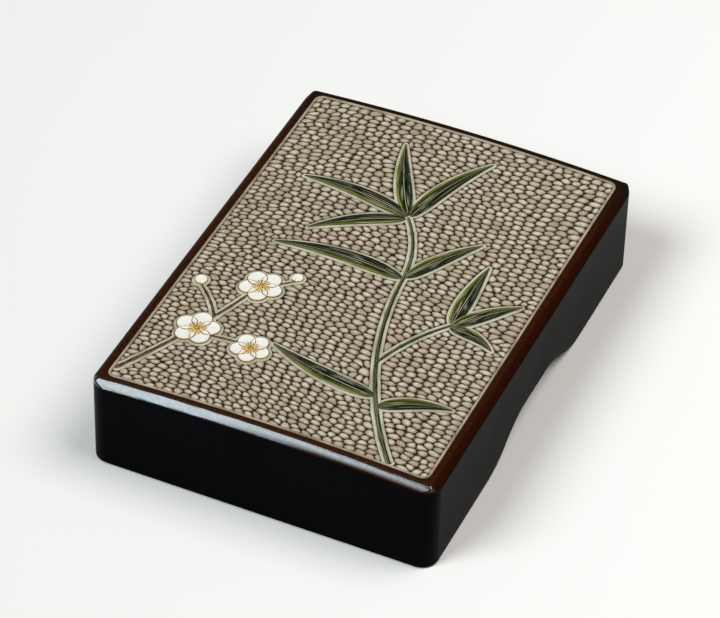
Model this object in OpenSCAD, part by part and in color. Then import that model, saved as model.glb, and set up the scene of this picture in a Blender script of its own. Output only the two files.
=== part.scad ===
// Lacquer document box with a deep lid that covers the whole body. Millimetres.
// +X runs along the short front, +Y to the back and +Z up; the origin is in the
// middle of the underside, where the body stands on the table.

/* [Lid] */
// Width across the short front
lid_w = 240; // [180:1:320]
// Length from front to back
lid_l = 336; // [260:1:440]
// Height of the lid walls, from their lower edge to the top board
lid_wall_h = 61; // [45:1:120]
// Thickness of the lid walls
lid_wall_t = 6.5; // [5.5:0.1:8]
// Outside radius of the upright corners
corner_r = 12; // [9.5:0.5:18]
// Height at which the lower edge of the lid stays clear of the table
foot_gap = 1; // [0.5:0.1:3]

/* [Top board] */
// Rise of the middle of the board above its long edges
camber = 4.2; // [2:0.1:8]
// Upright edge of the board below the chamfer, at the corners
edge_h = 2; // [1.5:0.1:6]
// Width of the chamfer, seen from above
chamfer_w = 4.8; // [3:0.1:8]
// Rise of the chamfer
chamfer_h = 4.3; // [3:0.1:8]
// Width of the chamfer in the middle of a corner, where it is steepest, seen from above
turn_w = 2.6; // [1.5:0.1:4.5]
// How far the lower end of that steep cone stands outside the upright corner
turn_ease = 0.15; // [0.05:0.05:0.5]
// Flat border between the chamfer and the rim
border_w = 3.9; // [1:0.1:6]
// Width of the raised rim round the carved field
rim_w = 1.5; // [1:0.1:4]
// Height of the rim above the border
rim_h = 0.5; // [0.2:0.1:1.5]
// How much rounder the rim's corners are than a line that runs level with the outer corners
rim_round = 2.6; // [0.5:0.1:4]
// Depth of the ground inside the rim, from the top of the rim to the mean level of its stones
ground_depth = 0.6; // [0.2:0.1:1.5]
// Depth of the tongue that drops inside the walls
tongue_h = 2; // [1:0.1:4]

/* [Carving] */
// Width of the plain band that the ground leaves round each plant
band_w = 2; // [1:0.1:4]
// Depth of the band below the ground
band_depth = 0.35; // [0.1:0.05:1]
// Height of leaves, stems and petals above the ground
plant_rise = 0.5; // [0.1:0.05:1]
// Width of the cut along a leaf's midrib
vein_w = 1.4; // [0.8:0.1:2]
// Depth of the cut along a leaf's midrib
vein_depth = 0.5; // [0.1:0.05:0.8]
// Width of the lip round a petal's cup
lip_w = 2.2; // [2:0.1:3]
// Depth of a petal's cup below its lip
cup_depth = 0.4; // [0.1:0.05:0.8]
// Width of a leaf at its tips
tip_w = 0.8; // [0.4:0.1:1.5]
// Ground left between the rim and what is carved
rim_clear = 0.5; // [0.3:0.1:2]

/* [Finger arch] */
// Length of the arch along the lower edge of a long wall
arch_l = 156; // [110:1:200]
// Height of the arch above the lower edge
arch_h = 19; // [8:0.5:28]
// Length of the level stretch at the top of the arch
arch_level = 24; // [4:1:60]
// Share of the bend that the shoulders take, the rest goes to the crown
shoulder_share = 0.44; // [0.2:0.01:0.8]

/* [Body] */
// Air between the lid walls and the body walls
fit_gap = 0.75; // [0.4:0.05:1.5]
// Thickness of the body walls
body_wall_t = 6; // [5:0.1:8]
// Radius of the upright corners inside the body
inner_r = 3; // [1:0.1:6]
// Thickness of the floor board
floor_t = 6; // [5:0.5:10]
// Height of the floor board's tongue inside the walls
floor_tongue = 2; // [1:0.1:4]

/* [Joinery] */
// Thickness of a corner key
key_t = 2; // [1:0.1:3]
// Keys in each corner
key_count = 3; // [2:1:5]
// Distance from the outside of a corner to the back of its keys
key_depth = 5; // [4:0.1:5.5]
// Lacquer and ground over the outside of a key
skin_t = 1; // [0.5:0.1:1.5]
// Diameter of a floor peg
peg_d = 2.5; // [1.5:0.1:3]
// Length of a floor peg
peg_l = 22; // [14:1:36]
// Pegs along each short wall
short_peg_count = 3; // [2:1:6]
// Pegs along each long wall
long_peg_count = 4; // [2:1:8]
// Glue line round keys, pegs and tongues
glue = 0.1; // [0.05:0.01:0.2]

/* [Hidden] */
$fn = 96;
// Levels, from the table up
lid_low = foot_gap;
joint_z = foot_gap + lid_wall_h;
ceiling_z = joint_z - tongue_h;
chamfer_z = joint_z + edge_h;
floor_top = floor_t + floor_tongue;
body_wall_h = ceiling_z - floor_t;
// Plan sizes
lid_in_w = lid_w - 2 * lid_wall_t;
lid_in_l = lid_l - 2 * lid_wall_t;
lid_in_r = corner_r - lid_wall_t;
body_w = lid_in_w - 2 * fit_gap;
body_l = lid_in_l - 2 * fit_gap;
body_r = lid_in_r - fit_gap;
body_in_w = body_w - 2 * body_wall_t;
body_in_l = body_l - 2 * body_wall_t;
rim_in = chamfer_w + border_w;
rim_r = corner_r - rim_in + rim_round;
field_in = rim_in + rim_w;
field_r = rim_r - rim_w;
// Camber: the circle through both long edges and the raised middle, seen from the front
camber_r = (pow(lid_w / 2, 2) + pow(camber, 2)) / (2 * camber);
camber_axis_z = chamfer_z + camber - camber_r;
border_cr = camber_r + chamfer_h;
rim_cr = border_cr + rim_h;
ground_cr = rim_cr - ground_depth;
plant_cr = ground_cr + plant_rise;
top_z = camber_axis_z + rim_cr;
// Centres of the upright corners, and how far the camber leans out there
centre_x = lid_w / 2 - corner_r;
centre_y = lid_l / 2 - corner_r;
lean = asin(centre_x / camber_r);
centre_z = camber_axis_z + camber_r * cos(lean);
// Slope of the chamfer against the board, and of the long chamfers against the table
chamfer_a = atan(chamfer_h / chamfer_w);
long_a = chamfer_a + lean;
// A point on the lower edge of the long chamfer
long_x = centre_x + corner_r * cos(lean);
long_z = centre_z - corner_r * sin(lean);
// Arch: a shoulder arc and a crown arc that meet with a common tangent
arch_run = (arch_l - arch_level) / 2;
arch_bend = (pow(arch_run, 2) + pow(arch_h, 2)) / (2 * arch_h);
arch_turn = 2 * atan(arch_h / arch_run);
shoulder_r = arch_bend * shoulder_share;
crown_r = arch_bend - shoulder_r;
arc_steps = 14;
// How far a cutter reaches past what it cuts, and a size past which everything has been cut away
over = 1;
far = 2 * (lid_l + lid_w);
// Thickness of the blank that the board is shaped from
blank_t = 2 * (top_z - ceiling_z);
// The field that the spray was drawn on, and the share at which it fits this one
drawn_w = 219.6;
drawn_l = 315.6;
spray_share = min((lid_w - 2 * field_in) / drawn_w, (lid_l - 2 * field_in) / drawn_l);
// The spray's lines on the plan: x, y, heading, length, turn, width
leaves = [
  [-1, 63, 160, 82, 24, 11], [-1, 64, 122, 76, -14, 10.5], [1, 64, 82, 80, -26, 11],
  [-1, 60, 200, 66, 24, 10], [21, 4, 168, 92, 24, 11.5], [23, 6, 66, 62, -16, 10],
  [68, -22, 94, 62, -8, 10.5], [69, -23, 56, 50, -14, 10], [68, -25, 8, 34, -44, 8.5],
  [51, -106, 178, 80, -20, 11], [57, -114, 42, 48, -36, 9.5]
];
main_stem = [84, -157, 128, 176, -34, 3.2];
// Side stems leave the main stem after a run along it: run, heading, length, turn, width
side_stems = [[92, 74, 62, -24, 2.4], [174, 94, 62, 34, 2.6]];
twigs = [
  [-109, -150, 58, 118, 14, 3], [-84, -104, 22, 46, -30, 2.2],
  [-73, -81, 120, 36, 22, 2], [-58, -46, 52, 26, -16, 1.8]
];
// Blossoms: x, y, radius, heading of the first petal; buds: x, y, diameter
blossoms = [[-58, -42, 14.5, 62], [-78, -96, 15, 20], [-38, -100, 13, -10]];
buds = [[-97, -51, 8.5], [-40, -25, 7.5]];
// Shares of a blossom's radius: how far out a petal's centre lies, and a petal's own radius
petal_reach = 0.56;
petal_size = 0.46;
petal_count = 5;
petal_sides = 16;
line_steps = 10;
vein_steps = 6;
// Shares of a leaf's length between which its midrib is cut
vein_first = 0.12;
vein_last = 0.82;
// Notches between plants that are finer than this stay uncut
notch_w = 0.6;

black_lacquer = [0.05, 0.05, 0.06];
brown_lacquer = [0.33, 0.17, 0.08];
plain_wood = [0.72, 0.55, 0.36];
bamboo = [0.8, 0.7, 0.45];

// Plan outlines

module rounded(w, l, r) {
  square([w - 2 * r, l], center = true);
  square([w, l - 2 * r], center = true);
  for (x = [-1, 1], y = [-1, 1])
    translate([x * (w / 2 - r), y * (l / 2 - r)]) circle(r);
}

module lid_outline(inset = 0) {
  rounded(lid_w - 2 * inset, lid_l - 2 * inset, corner_r - inset);
}

module body_outline(inset = 0) {
  rounded(body_w - 2 * inset, body_l - 2 * inset, body_r - inset);
}

module body_inside(inset = 0) {
  rounded(body_in_w - 2 * inset, body_in_l - 2 * inset, inner_r);
}

module rim_outline(inset, r) {
  rounded(lid_w - 2 * inset, lid_l - 2 * inset, r);
}

// The stretch of a frame between two mitres; side 0 is the front, then right, back and left
module mitred_side(w, l, side) {
  k = corner_r + inner_r + body_wall_t;
  a = (side % 2 == 0 ? w : l) / 2;
  b = (side % 2 == 0 ? l : w) / 2;
  rotate(90 * side) polygon([[-a, -b], [a, -b], [a - k, k - b], [k - a, k - b]]);
}

// Slips across the mitres: a corner is a pair of signs, [-1, -1] is front left

module key_plan(corner, w, l, r, grow) {
  intersection() {
    rounded(w - 2 * (skin_t - grow), l - 2 * (skin_t - grow), r - skin_t + grow);
    translate([corner.x * (w / 2 - r), corner.y * (l / 2 - r)])
      rotate(atan2(corner.y, corner.x))
        translate([r - key_depth - grow, -w / 2]) square([key_depth + r, w]);
  }
}

module keys(corner, w, l, r, low, high, grow = 0) {
  pitch = (high - low) / key_count;
  for (i = [0 : key_count - 1])
    translate([0, 0, low + (i + 0.5) * pitch - key_t / 2 - grow])
      linear_extrude(key_t + 2 * grow) key_plan(corner, w, l, r, grow);
}

module lid_keys(corner, grow = 0) {
  keys(corner, lid_w, lid_l, corner_r, lid_low, joint_z, grow);
}

module body_keys(corner, grow = 0) {
  keys(corner, body_w, body_l, body_r, floor_t, ceiling_z, grow);
}

// The two corners at the ends of a side
function ends(side) = [
  [[-1, -1], [1, -1]], [[1, -1], [1, 1]], [[1, 1], [-1, 1]], [[-1, 1], [-1, -1]]
][side];

// Finger arch, drawn along a long wall and up from its lower edge

function arc(c, r, from, to, first) = [
  for (i = [first : arc_steps])
    let (t = from + (to - from) * i / arc_steps) c + r * [cos(t), sin(t)]
];

function half_arch() = concat(
  arc([-arch_l / 2, shoulder_r], shoulder_r, -90, arch_turn - 90, 0),
  arc([-arch_level / 2, arch_h - crown_r], crown_r, 90 + arch_turn, 90, 1)
);

module arch_opening() {
  left = half_arch();
  n = len(left);
  right = [for (i = [0 : n - 1]) [-left[n - 1 - i].x, left[n - 1 - i].y]];
  polygon(concat([[-arch_l / 2, -foot_gap - over]], left, right, [[arch_l / 2, -foot_gap - over]]));
}

module arch_cut(sign) {
  translate([sign * (lid_w / 2 - lid_wall_t - over), 0, lid_low])
    rotate([90, 0, 90 * sign]) linear_extrude(lid_wall_t + 2 * over) arch_opening();
}

// Lid

module lid_wall(side) {
  difference() {
    translate([0, 0, lid_low]) linear_extrude(lid_wall_h) intersection() {
      difference() {
        lid_outline();
        lid_outline(lid_wall_t);
      }
      mitred_side(lid_w, lid_l, side);
    }
    for (corner = ends(side)) lid_keys(corner, glue);
    if (side == 1) arch_cut(1);
    if (side == 3) arch_cut(-1);
  }
}

// Everything below a cambered surface
module under_camber(r) {
  translate([0, 0, camber_axis_z])
    rotate([90, 0, 0]) cylinder(r = r, h = far, center = true, $fn = 256);
}

// The camber carried round the front and back chamfers
module cambered_blank() {
  a = asin(lid_w * 0.6 / camber_r);
  translate([0, 0, camber_axis_z]) rotate([90, 0, 0]) rotate(90 - a)
    rotate_extrude(angle = 2 * a, $fn = 256)
      polygon([
        [camber_r - blank_t, -lid_l / 2 - over], [camber_r - over * tan(chamfer_a), -lid_l / 2 - over],
        [border_cr, chamfer_w - lid_l / 2], [border_cr, lid_l / 2 - chamfer_w],
        [camber_r - over * tan(chamfer_a), lid_l / 2 + over], [camber_r - blank_t, lid_l / 2 + over]
      ]);
}

// The long chamfers, drawn as the board's outline seen from the front
module long_chamfers() {
  out = lid_w / 2 + over;
  in = lid_w / 2 - 3 * chamfer_w;
  low = long_z - (out - long_x) * tan(long_a);
  high = long_z + (long_x - in) * tan(long_a);
  rotate([90, 0, 0]) linear_extrude(far, center = true)
    polygon([[-out, ceiling_z], [out, ceiling_z], [out, low], [in, high], [-in, high], [-out, low]]);
}

// What comes off where two chamfers meet over a round corner: all that lies outside a steeper cone
module corner_waste() {
  base_r = corner_r + turn_ease;
  tip_r = (corner_r - chamfer_w) / 2;
  steep = chamfer_h / turn_w;
  drop = edge_h / 2;
  difference() {
    translate([0, 0, -drop]) cube([corner_r + 3 * over, corner_r + 3 * over, drop + 2 * chamfer_h]);
    translate([0, 0, -edge_h])
      cylinder(
        r1 = base_r + edge_h / steep, r2 = tip_r,
        h = edge_h + (base_r - tip_r) * steep
      );
  }
}

module corner_wastes() {
  for (x = [0, 1], y = [0, 1])
    mirror([x, 0, 0]) mirror([0, y, 0])
      translate([centre_x, centre_y, centre_z]) rotate([0, lean, 0]) corner_waste();
}

// The carved spray, drawn on the plan

function way(line, t) = line[2] + line[4] * t;

function along(line, t) =
  let (bend = line[3] / (line[4] * PI / 180))
    [line[0], line[1]] + bend * [sin(way(line, t)) - sin(line[2]), cos(line[2]) - cos(way(line, t))];

function side_of(line, t, half) = along(line, t) + half * [-sin(way(line, t)), cos(way(line, t))];

function leaf_half(line, t) = max(tip_w / 2, line[5] / 2 * pow(max(0, sin(180 * pow(t, 0.62))), 0.8));

function stem_half(line, t) = line[5] / 2 * (1 - 0.3 * t);

function side_stem(s) = concat(along(main_stem, s[0] / main_stem[3]), [s[1], s[2], s[3], s[4]]);

// Even steps from one share of a line to another
function steps(first, last, count) = [for (i = [0 : count]) first + (last - first) * i / count];

function turned(shares) = [for (i = [len(shares) - 1 : -1 : 0]) shares[i]];

module leaf(line) {
  shares = steps(0, 1, line_steps);
  polygon(concat(
    [for (t = shares) side_of(line, t, leaf_half(line, t))],
    [for (t = turned(shares)) side_of(line, t, -leaf_half(line, t))]
  ));
}

module stem(line) {
  shares = steps(0, 1, line_steps);
  polygon(concat(
    [for (t = shares) side_of(line, t, stem_half(line, t))],
    [for (t = turned(shares)) side_of(line, t, -stem_half(line, t))]
  ));
}

// The midrib starts and ends inside its leaf
module midrib(line) {
  shares = steps(vein_first, vein_last, vein_steps);
  polygon(concat(
    [for (t = shares) side_of(line, t, vein_w / 2)],
    [for (t = turned(shares)) side_of(line, t, -vein_w / 2)]
  ));
}

module petals(blossom, inset = 0) {
  for (i = [0 : petal_count - 1])
    translate([blossom[0], blossom[1]]) rotate(blossom[3] + 360 / petal_count * i)
      translate([petal_reach * blossom[2], 0]) circle(petal_size * blossom[2] - inset, $fn = petal_sides);
}

module plants() {
  for (line = leaves) leaf(line);
  stem(main_stem);
  for (s = side_stems) stem(side_stem(s));
  for (line = twigs) stem(line);
  for (blossom = blossoms) {
    petals(blossom);
    translate([blossom[0], blossom[1]]) circle(blossom[2] / 2, $fn = petal_sides);
  }
  for (bud = buds) translate([bud[0], bud[1]]) circle(d = bud[2], $fn = petal_sides);
}

module on_field() {
  intersection() {
    scale(spray_share) children();
    rim_outline(field_in + rim_clear + band_w, field_r);
  }
}

// One outline of all the plants, with the finest notches between them closed
module spray_outline(grow = 0) {
  offset(delta = grow - notch_w / 2) offset(delta = notch_w / 2) on_field() plants();
}

module midrib_outline() {
  offset(delta = 0) on_field() for (line = leaves) midrib(line);
}

module cup_outline() {
  offset(delta = 0) on_field() for (blossom = blossoms) petals(blossom, lip_w);
}

// All that lies above a cambered surface, within an outline on the plan
module carve(r) {
  difference() {
    translate([0, 0, chamfer_z]) linear_extrude(blank_t) children();
    under_camber(r);
  }
}

module relief() {
  difference() {
    intersection() {
      translate([0, 0, chamfer_z]) linear_extrude(blank_t) spray_outline();
      under_camber(plant_cr);
    }
    carve(plant_cr - vein_depth) midrib_outline();
    carve(plant_cr - cup_depth) cup_outline();
  }
}

module lid_top_board() color(brown_lacquer) {
  difference() {
    union() {
      difference() {
        intersection() {
          translate([0, 0, ceiling_z]) linear_extrude(top_z - ceiling_z) lid_outline();
          long_chamfers();
          cambered_blank();
        }
        corner_wastes();
      }
      intersection() {
        translate([0, 0, joint_z]) linear_extrude(far) rim_outline(rim_in, rim_r);
        under_camber(rim_cr);
      }
    }
    // the seat on the walls, round the tongue
    difference() {
      translate([0, 0, ceiling_z - over])
        linear_extrude(tongue_h + over) square([lid_w + 2 * over, lid_l + 2 * over], center = true);
      translate([0, 0, ceiling_z - 2 * over]) linear_extrude(tongue_h + 3 * over) lid_outline(lid_wall_t + glue);
    }
    carve(ground_cr) rim_outline(field_in, field_r);
    carve(ground_cr - band_depth) spray_outline(band_w);
  }
  relief();
}

module lid_front_wall() color(black_lacquer) lid_wall(0);
module lid_right_wall() color(black_lacquer) lid_wall(1);
module lid_back_wall() color(black_lacquer) lid_wall(2);
module lid_left_wall() color(black_lacquer) lid_wall(3);
module lid_keys_front_left() color(plain_wood) lid_keys([-1, -1]);
module lid_keys_front_right() color(plain_wood) lid_keys([1, -1]);
module lid_keys_back_left() color(plain_wood) lid_keys([-1, 1]);
module lid_keys_back_right() color(plain_wood) lid_keys([1, 1]);

// Body

function spread(count, length) = [for (i = [0 : count - 1]) length * ((i + 0.5) / count - 0.5)];

module pegs(side, d, l) {
  along = side % 2 == 0 ? body_in_w : body_in_l;
  across = (side % 2 == 0 ? body_l : body_w) / 2 - body_wall_t / 2;
  rotate(90 * side)
    for (x = spread(side % 2 == 0 ? short_peg_count : long_peg_count, along))
      translate([x, -across, 0]) cylinder(d = d, h = l);
}

module peg_bores(side) {
  translate([0, 0, -over]) pegs(side, peg_d + 2 * glue, peg_l + glue + over);
}

module body_wall(side) {
  difference() {
    translate([0, 0, floor_t]) linear_extrude(body_wall_h) intersection() {
      difference() {
        body_outline();
        body_inside();
      }
      mitred_side(body_w, body_l, side);
    }
    for (corner = ends(side)) body_keys(corner, glue);
    peg_bores(side);
  }
}

module body_floor_board() color(black_lacquer) {
  difference() {
    union() {
      linear_extrude(floor_t) body_outline();
      linear_extrude(floor_top) body_inside(glue);
    }
    for (side = [0 : 3]) peg_bores(side);
  }
}

module body_front_wall() color(black_lacquer) body_wall(0);
module body_right_wall() color(black_lacquer) body_wall(1);
module body_back_wall() color(black_lacquer) body_wall(2);
module body_left_wall() color(black_lacquer) body_wall(3);
module body_keys_front_left() color(plain_wood) body_keys([-1, -1]);
module body_keys_front_right() color(plain_wood) body_keys([1, -1]);
module body_keys_back_left() color(plain_wood) body_keys([-1, 1]);
module body_keys_back_right() color(plain_wood) body_keys([1, 1]);
module floor_pegs_front() color(bamboo) pegs(0, peg_d, peg_l);
module floor_pegs_right() color(bamboo) pegs(1, peg_d, peg_l);
module floor_pegs_back() color(bamboo) pegs(2, peg_d, peg_l);
module floor_pegs_left() color(bamboo) pegs(3, peg_d, peg_l);

lid_top_board();
lid_front_wall();
lid_back_wall();
lid_left_wall();
lid_right_wall();
lid_keys_front_left();
lid_keys_front_right();
lid_keys_back_left();
lid_keys_back_right();
body_floor_board();
body_front_wall();
body_back_wall();
body_left_wall();
body_right_wall();
body_keys_front_left();
body_keys_front_right();
body_keys_back_left();
body_keys_back_right();
floor_pegs_front();
floor_pegs_back();
floor_pegs_left();
floor_pegs_right();
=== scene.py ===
# %% [markdown]
# # A lacquer document box
# The real object is a shallow box for papers: a plain body of four walls on a floor board, and a deep
# lid that slides down over it. The lid's top board is cambered, chamfered all round and carved.
# The CAD model is loaded first and stays where it is. Each step below makes one piece in the same
# place, to the same sizes, with the detail that a solid model leaves out.

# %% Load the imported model
import math
import random
from collections import namedtuple

import bmesh
import bpy
from mathutils import Matrix, Vector
from mathutils.kdtree import KDTree


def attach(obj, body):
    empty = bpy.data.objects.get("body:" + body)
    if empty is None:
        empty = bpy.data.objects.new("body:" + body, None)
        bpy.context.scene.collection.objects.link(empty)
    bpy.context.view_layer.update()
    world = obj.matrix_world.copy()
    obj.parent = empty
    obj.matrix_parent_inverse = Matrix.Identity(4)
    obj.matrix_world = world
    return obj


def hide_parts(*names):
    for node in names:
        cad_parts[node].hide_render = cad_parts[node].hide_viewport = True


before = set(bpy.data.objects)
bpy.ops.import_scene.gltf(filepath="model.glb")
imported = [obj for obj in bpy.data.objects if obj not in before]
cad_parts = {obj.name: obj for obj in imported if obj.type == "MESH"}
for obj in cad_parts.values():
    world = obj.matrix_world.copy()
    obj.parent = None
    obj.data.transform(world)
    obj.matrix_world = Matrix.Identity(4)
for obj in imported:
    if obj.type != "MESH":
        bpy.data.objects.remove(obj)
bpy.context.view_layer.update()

# %% [markdown]
# ## The camera
# The photograph looks down on the front right corner from a little over forty degrees. A long lens
# keeps the sides nearly parallel. A camera could be aimed with a constraint, but three plain
# directions, right, up and back, make its matrix directly and leave nothing to evaluate.

# %% Camera
CAMERA_PLACE = (0.7475, -1.7379, 1.7022)
LENS_MM = 191.7
view_right = Vector((0.9099, 0.4144, 0.0208))
view_up = Vector((-0.2880, 0.5940, 0.7510))
view_back = view_right.cross(view_up)
camera = bpy.data.objects.new("camera", bpy.data.cameras.new("camera"))
camera.data.sensor_width = 36
camera.data.lens = LENS_MM
camera.data.clip_end = 50
bpy.context.scene.collection.objects.link(camera)
view_turn = Matrix((view_right, view_up, view_back)).transposed().to_4x4()
camera.matrix_world = Matrix.Translation(CAMERA_PLACE) @ view_turn
bpy.context.scene.camera = camera
bpy.context.scene.view_settings.view_transform = "Standard"
print("camera looks along", [round(-c, 3) for c in view_back])

# %% [markdown]
# ## Writing shaders as sums
# A finish is a small calculation at each point of the surface. Nodes can be placed one by one, but
# a calculation reads better as an expression. This class wraps a node's socket: arithmetic on it
# adds Math nodes, and one method adds any other node with its settings and inputs. The nodes that most
# finishes need have short names of their own. Colours are written as they look on a screen, from 0 to
# 255, and turned into the linear values that a shader wants.

# %% A socket that can be calculated with
class Wire:
    def __init__(self, tree, socket=None):
        self.tree = tree
        self.socket = socket

    def node(self, kind, settings=None, values=None, output=0):
        made = self.tree.nodes.new("ShaderNode" + kind)
        for name, value in (settings or {}).items():
            setattr(made, name, value)
        for name, value in (values or {}).items():
            if isinstance(value, Wire):
                self.tree.links.new(value.socket, made.inputs[name])
            else:
                made.inputs[name].default_value = value
        return Wire(self.tree, made.outputs[output] if made.outputs else None)

    def math(self, operation, first, second=0.0):
        return self.node("Math", {"operation": operation}, {0: first, 1: second})

    def __add__(self, other):
        return self.math("ADD", self, other)

    __radd__ = __add__

    def __sub__(self, other):
        return self.math("SUBTRACT", self, other)

    def __rsub__(self, other):
        return self.math("SUBTRACT", other, self)

    def __mul__(self, other):
        return self.math("MULTIPLY", self, other)

    __rmul__ = __mul__

    def __abs__(self):
        return self.math("ABSOLUTE", self)

    def rise(self, low, high):
        settings = {"interpolation_type": "SMOOTHSTEP"}
        return self.node("MapRange", settings, {"Value": self, "From Min": low, "From Max": high})

    def blend(self, first, second):
        return self.node("Mix", {"data_type": "RGBA"}, {0: self, 6: first, 7: second}, output=2)

    def attribute(self, name):
        return self.node("Attribute", {"attribute_name": name}, output="Fac")

    def axis(self, name):
        return self.node("SeparateXYZ", None, {"Vector": self}, output=name)

    def scaled(self, scale):
        return self.node("Mapping", None, {"Vector": self, "Scale": scale})

    def noise(self, scale, detail):
        return self.node("TexNoise", None, {"Vector": self, "Scale": scale, "Detail": detail})

    def bump(self, strength, distance):
        values = {"Strength": strength, "Distance": distance, "Height": self}
        return self.node("Bump", None, values)


def colour(red, green, blue):
    tones = []
    for tone in (red / 255, green / 255, blue / 255):
        tones.append(tone / 12.92 if tone < 0.04045 else ((tone + 0.055) / 1.055) ** 2.4)
    return (*tones, 1.0)


def start_finish(name):
    material = bpy.data.materials.new(name)
    material.use_nodes = True
    material.node_tree.nodes.clear()
    wire = Wire(material.node_tree)
    return material, wire, wire.node("TexCoord", output="Object")


def close_finish(wire, values):
    shader = wire.node("BsdfPrincipled", None, values)
    wire.node("OutputMaterial", None, {"Surface": shader})


print("mid grey 128 is", round(colour(128, 128, 128)[0], 4), "in linear light")

# %% [markdown]
# ## The studio
# A dark gloss object is drawn by what it mirrors. A picture of a studio could light it, but two lamps
# are easier to steer. A wide, distant one at the front left is mirrored by the front chamfer and
# lights it along its length. A broad disc above on the right softens the shadow. The world stays dim,
# so that the other chamfers and the walls keep their depth.

# %% Floor
def floor_finish():
    material, wire, place = start_finish("pale_floor")
    cloud = place.noise(1.5, 2.0)
    tint = cloud.blend(colour(250, 247, 245), colour(253, 251, 249))
    close_finish(wire, {"Base Color": tint, "Roughness": 0.9, "Specular IOR Level": 0.0})
    return material


bm = bmesh.new()
bmesh.ops.create_circle(bm, cap_ends=True, segments=64, radius=9.0)
mesh = bpy.data.meshes.new("floor")
bm.to_mesh(mesh)
bm.free()
mesh.materials.append(floor_finish())
floor = bpy.data.objects.new("floor", mesh)
bpy.context.scene.collection.objects.link(floor)
print("floor:", [round(side, 1) for side in floor.dimensions], "m")

# %% Lamps
LAMP_AIM = Vector((0, 0, 0.04))


def add_lamp(name, kind, place, energy, size, tint):
    lamp = bpy.data.objects.new(name, bpy.data.lights.new(name, kind))
    lamp.data.energy = energy
    lamp.data.color = tint
    if kind == "SUN":
        lamp.data.angle = math.radians(size)
    else:
        lamp.data.shape = "DISK"
        lamp.data.size = size
    aim = (LAMP_AIM - Vector(place)).to_track_quat("-Z", "Y")
    lamp.matrix_world = Matrix.Translation(place) @ aim.to_matrix().to_4x4()
    bpy.context.scene.collection.objects.link(lamp)
    return lamp


key_lamp = add_lamp(
    "key_lamp", "SUN", place=(-0.4, -0.57, 0.77), energy=2.0, size=30, tint=(0.88, 0.97, 1.0),
)
fill_lamp = add_lamp(
    "fill_lamp", "AREA", place=(1.0, 0.2, 2.1), energy=30, size=1.6, tint=(1.0, 0.98, 0.93),
)
world = bpy.data.worlds.new("studio")
bpy.context.scene.world = world
world.use_nodes = True
sky = world.node_tree.nodes["Background"].inputs
sky["Color"].default_value = (1.0, 1.0, 1.0, 1.0)
sky["Strength"].default_value = 0.12
print("lamps:", key_lamp.name, fill_lamp.name)

# %% [markdown]
# ## Lacquer finishes
# Black lacquer on the walls is rubbed down to a satin, so it takes a soft, weak reflection with slight
# unevenness and fine polishing marks. A flat black could stand for it, but would look like paint.

# %% Black lacquer
def black_lacquer():
    material, wire, place = start_finish("black_lacquer")
    cloud = place.noise(16.0, 3.0)
    marks = place.noise(1400.0, 2.0)
    tint = cloud.blend(colour(2, 2, 5), colour(5, 5, 9))
    bump = marks.bump(0.05, 0.0002)
    close_finish(wire, {
        "Base Color": tint,
        "Roughness": 0.3 + 0.12 * cloud,
        "Specular IOR Level": 0.016,
        "Normal": bump,
    })
    return material


black = black_lacquer()
print("walls:", black.name, "with", len(black.node_tree.nodes), "nodes")

# %% [markdown]
# The chamfer's lacquer is clear over brown and redder towards its upper edge. Towards the back it is
# darkened with painted shade, which stands for the dark reflection there.
# At the front it is polished, in streaks, and less so at the lower right. A specular level that varies
# could do this, but it is lost on export, so a dull and a bright shader are mixed by a mask instead.
# Two float attributes on the mesh say how far up the chamfer a point is, and how far it is on the
# front. Plain height would mislead, because the board is cambered.

# %% Brown lacquer
def brown_lacquer():
    material, wire, place = start_finish("brown_lacquer")
    level = wire.attribute("board_level")
    polish = wire.attribute("polish")
    cloud = place.noise(40.0, 4.0)
    grain = place.scaled((420.0, 18.0, 420.0)).noise(1.0, 3.0)
    mottle = place.noise(380.0, 3.0)
    depth = (level * 0.6 + cloud * 0.25 + mottle * 0.5).rise(0.15, 1.1)
    tint = depth.blend(colour(33, 10, 4), colour(48, 17, 4))
    border = level.rise(0.93, 1.0)
    tint = border.blend(tint, mottle.rise(0.3, 0.7).blend(colour(42, 20, 9), colour(58, 28, 12)))
    # Painted shade: the colour darkens towards the back, standing for the back chamfer's dark reflection.
    back = place.axis("Y").rise(0.09, 0.165)
    tint = (back * 0.8).blend(tint, colour(30, 20, 12))
    bump = grain.bump(0.05, 0.0003)
    dull = wire.node("BsdfPrincipled", None, {
        "Base Color": tint,
        "Roughness": 0.36 + 0.12 * cloud,
        "Specular IOR Level": 0.005,
        "Normal": bump,
    })
    rub = place.scaled((34.0, 420.0, 420.0)).noise(1.0, 3.0)
    wave = wire.node("Bump", None, {"Strength": 0.3, "Distance": 0.0006, "Height": rub, "Normal": bump})
    bright = wire.node("BsdfPrincipled", None, {
        "Base Color": tint,
        "Roughness": 0.1 + 0.16 * rub,
        "Specular IOR Level": 0.95,
        "Specular Tint": (0.86, 0.96, 1.0, 1.0),
        "Normal": wave,
    })
    right = place.axis("X").rise(-0.06, 0.06)
    low = 1 - level.rise(0.15, 0.75)
    gloss = polish * (1 - right * (0.15 + 0.85 * low)) * (0.62 + 0.6 * grain)
    both = wire.node("MixShader", None, {0: gloss, 1: dull, 2: bright})
    wire.node("OutputMaterial", None, {"Surface": both})
    return material


brown = brown_lacquer()
print("chamfer:", brown.name, "with", len(brown.node_tree.nodes), "nodes")

# %% [markdown]
# ## Sizes and helpers
# The sizes repeat those of the CAD model, in millimetres. A mesh is shaped in millimetres too, and
# scaled to metres when it becomes a piece, which keeps tolerances and numbers easy to read.
# The one curve that everything on the lid's top follows is the camber.

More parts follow.
